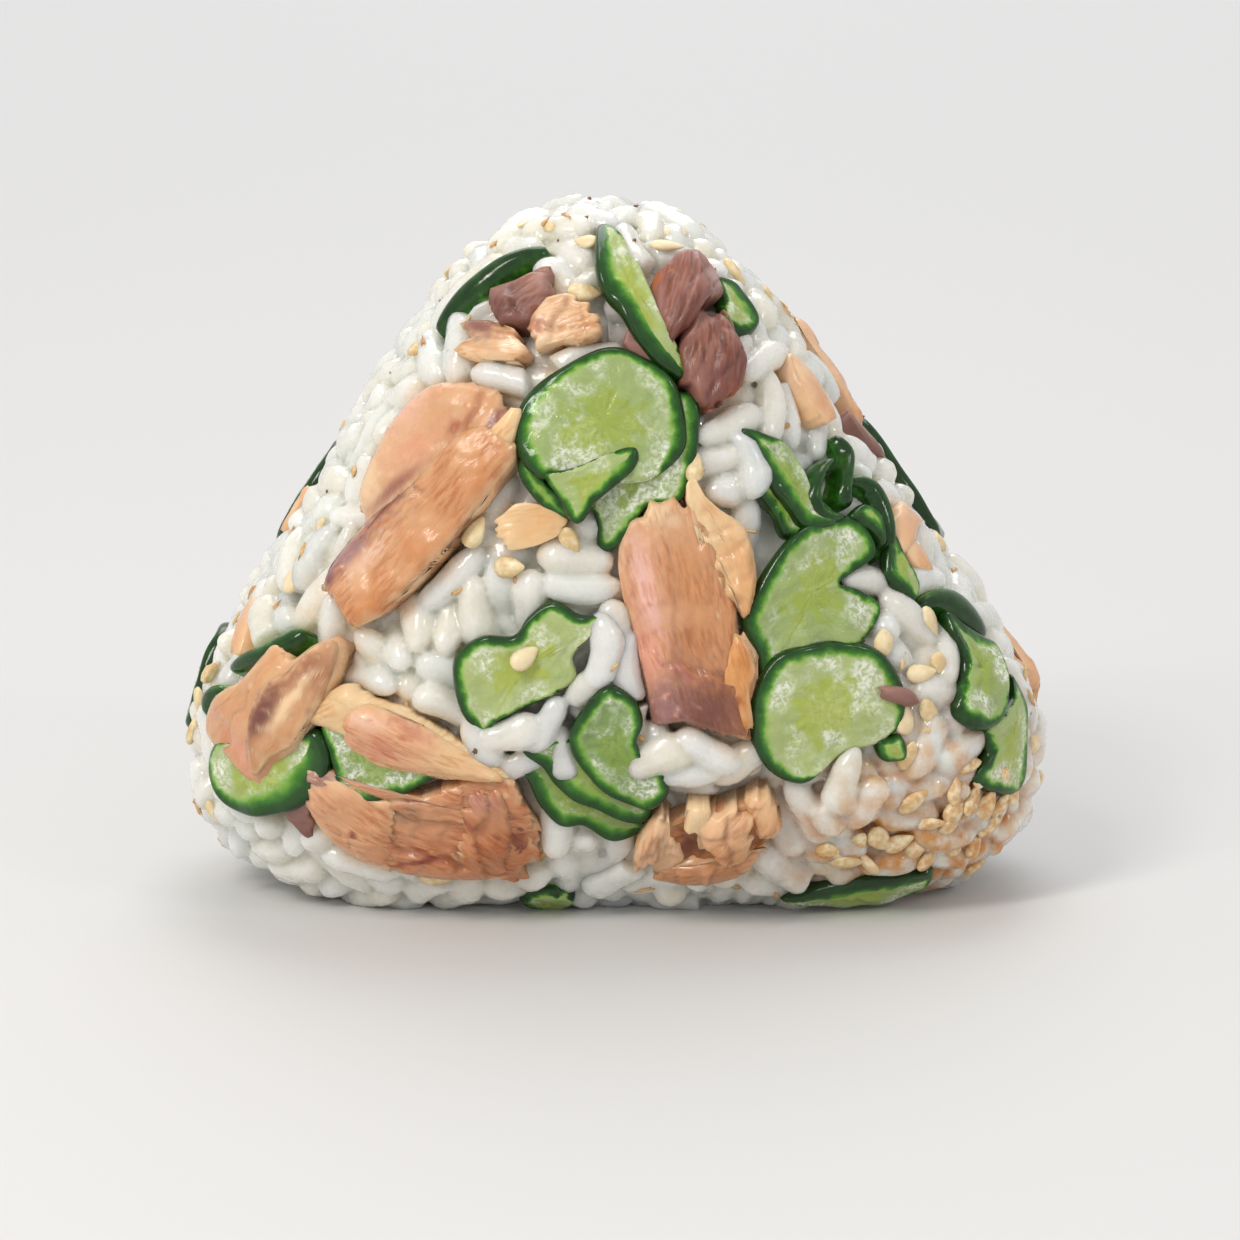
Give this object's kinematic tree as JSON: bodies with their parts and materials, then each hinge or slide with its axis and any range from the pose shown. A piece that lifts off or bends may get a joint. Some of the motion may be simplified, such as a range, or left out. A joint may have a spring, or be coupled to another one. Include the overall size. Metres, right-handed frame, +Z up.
{
  "type": "onigiri rice ball",
  "caption": "Hand-pressed triangular rice ball with flaked grilled fish, thin cucumber slices, dark fish meat and sesame seeds pressed into all its sides.",
  "frame": {"origin": "on the flat base, under the heart of the rice ball", "axes": "+Z up towards the ball's point, one broad face towards -Y, +X along the longer base edge to the right of that face"},
  "size_m": [0.0854, 0.0518, 0.0684],
  "materials": {
    "rice": "satin",
    "cucumber": "gloss",
    "fish": "satin",
    "dark_meat": "satin"
  },
  "bodies": {
    "root": {"cucumber_back_corner": "cucumber", "cucumber_back_crest": "cucumber", "cucumber_back_foot": "cucumber", "cucumber_back_left": "cucumber", "cucumber_back_low": "cucumber", "cucumber_back_round": "cucumber", "cucumber_base_right": "cucumber", "cucumber_corner": "cucumber", "cucumber_crest": "cucumber", "cucumber_curl": "cucumber", "cucumber_flap": "cucumber", "cucumber_leaf": "cucumber", "cucumber_left_crest": "cucumber", "cucumber_left_edge": "cucumber", "cucumber_left_low": "cucumber", "cucumber_left_slope": "cucumber", "cucumber_notched": "cucumber", "cucumber_right_band": "cucumber", "cucumber_right_edge": "cucumber", "cucumber_right_fold": "cucumber", "cucumber_right_slope": "cucumber", "cucumber_round": "cucumber", "cucumber_shoulder": "cucumber", "cucumber_side_round": "cucumber", "cucumber_stack_middle": "cucumber", "cucumber_stack_top": "cucumber", "cucumber_stack_under": "cucumber", "cucumber_trail": "cucumber", "cucumber_twist": "cucumber", "cucumber_under_round": "cucumber", "cucumber_under_spear": "cucumber", "dark_meat_back": "dark_meat", "dark_meat_left": "dark_meat", "dark_meat_lower": "dark_meat", "dark_meat_upper": "dark_meat", "fish_back_broad": "fish", "fish_back_foot": "fish", "fish_back_long": "fish", "fish_back_upper": "fish", "fish_bottom": "fish", "fish_corner": "fish", "fish_crest": "fish", "fish_crumbly": "fish", "fish_left_back": "fish", "fish_long": "fish", "fish_middle": "fish", "fish_middle_flake": "fish", "fish_right_low": "fish", "fish_right_shred": "fish", "fish_right_slope": "fish", "fish_spear": "fish", "rice": "rice"}
  },
  "joints": []
}
